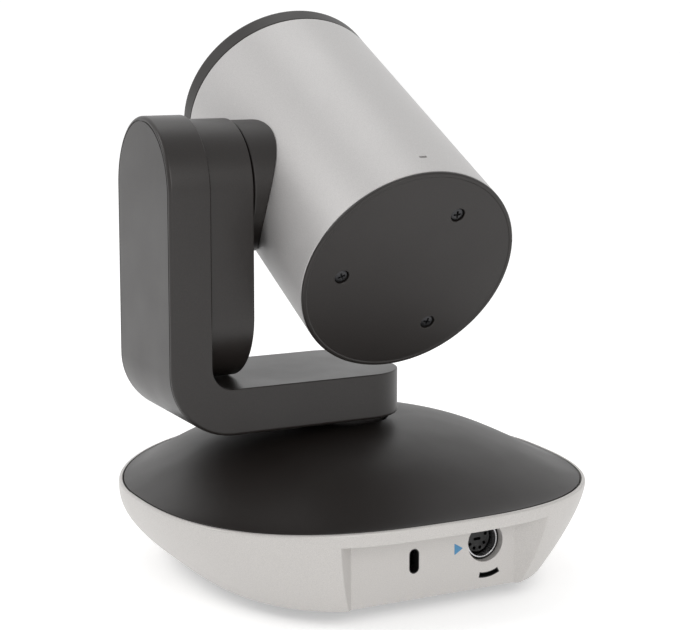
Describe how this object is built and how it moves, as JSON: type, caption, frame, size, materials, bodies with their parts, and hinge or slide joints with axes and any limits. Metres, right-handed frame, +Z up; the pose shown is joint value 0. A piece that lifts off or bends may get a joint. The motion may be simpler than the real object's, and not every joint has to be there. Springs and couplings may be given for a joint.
{
  "type": "ptz camera",
  "caption": "Desktop pan-tilt-zoom camera: tapered barrel head on a one-armed yoke above a rounded silver and black base with a connector bay.",
  "frame": {"origin": "on the surface it stands on, at the pan axis, in the middle of the base", "axes": "+Z up along the pan axis; the lens looks along -Y (27 degrees above level at rest); the connector bay faces +Y; the arm stands on the +X side"},
  "size_m": [0.1306, 0.1297, 0.1586],
  "materials": {
    "silver_paint": "satin silver paint",
    "black_plastic": "matte black",
    "yoke_black": "matte black",
    "connector_black": "moulded black",
    "lens_black": "matte black",
    "rubber": "matte",
    "steel": "plated",
    "motor_can": "plated",
    "brass": "machined",
    "gear_plastic": "natural acetal",
    "circuit_board": "solder mask",
    "lens_glass": "coated",
    "front_glass": "tinted, polished",
    "dark_window": "polished, dark",
    "sensor": "polished"
  },
  "bodies": {
    "base": {"lower_shell": "silver_paint", "top_cover": "black_plastic", "bottom_plate": "black_plastic", "foot_ring": "rubber", "tripod_insert": "brass", "chassis_plate": "steel", "pan_frame": "black_plastic", "pan_bearing_outer": "steel", "pan_motor": "motor_can", "main_board": "circuit_board", "din_body": "connector_black", "din_shield": "steel", "din_insert": "connector_black", "lock_plate": "steel", "ir_window": "dark_window", "base_screw_1": "steel", "base_screw_2": "steel", "base_screw_3": "steel", "base_screw_4": "steel"},
    "pan_drive": {"pan_pinion": "brass"},
    "yoke": {"yoke_frame": "yoke_black", "arm_housing": "black_plastic", "pan_shaft": "steel", "pan_collar": "black_plastic", "pan_gear": "gear_plastic", "pan_bearing_inner": "steel", "tilt_bearing": "steel", "tilt_motor": "motor_can"},
    "tilt_drive": {"tilt_pinion": "brass"},
    "head": {"barrel_tube": "silver_paint", "front_ring": "black_plastic", "front_glass": "front_glass", "rear_cover": "black_plastic", "rear_screw_1": "steel", "rear_screw_2": "steel", "rear_screw_3": "steel", "hub_collar": "black_plastic", "tilt_shaft": "steel", "tilt_gear": "gear_plastic", "head_bracket": "steel", "lens_housing": "lens_black", "lens_retainer": "lens_black", "front_lens": "lens_glass", "sensor_board": "circuit_board", "image_sensor": "sensor", "head_board": "circuit_board"},
    "zoom_group": {"zoom_cell": "lens_black", "zoom_lens": "lens_glass"},
    "focus_group": {"focus_cell": "lens_black", "focus_lens": "lens_glass"}
  },
  "joints": [
    {"name": "pan", "type": "hinge", "parent": "base", "child": "yoke", "pos_m": [0, 0, 0.03], "axis": [0, 0, 1], "range_deg": [-130, 130]},
    {"name": "tilt", "type": "hinge", "parent": "yoke", "child": "head", "pos_m": [0.03, 0, 0.1103], "axis": [-1, 0, 0], "range_deg": [-62, 8]},
    {"name": "pan_pinion_spin", "type": "hinge", "parent": "base", "child": "pan_drive", "pos_m": [-0.0253, 0, 0.0217], "axis": [0, 0, 1], "range_deg": [-520, 520]},
    {"name": "tilt_pinion_spin", "type": "hinge", "parent": "yoke", "child": "tilt_drive", "pos_m": [0.0433, 0, 0.09], "axis": [-1, 0, 0], "range_deg": [-32, 248]},
    {"name": "zoom", "type": "slide", "parent": "head", "child": "zoom_group", "axis": [0, -0.891, 0.454], "range_m": [-0.008, 0.006]},
    {"name": "focus", "type": "slide", "parent": "head", "child": "focus_group", "axis": [0, -0.891, 0.454], "range_m": [-0.003, 0.003]}
  ],
  "couplings": [
    {"joint": "pan_pinion_spin", "follows": "pan", "ratio": -4},
    {"joint": "tilt_pinion_spin", "follows": "tilt", "ratio": -4}
  ]
}
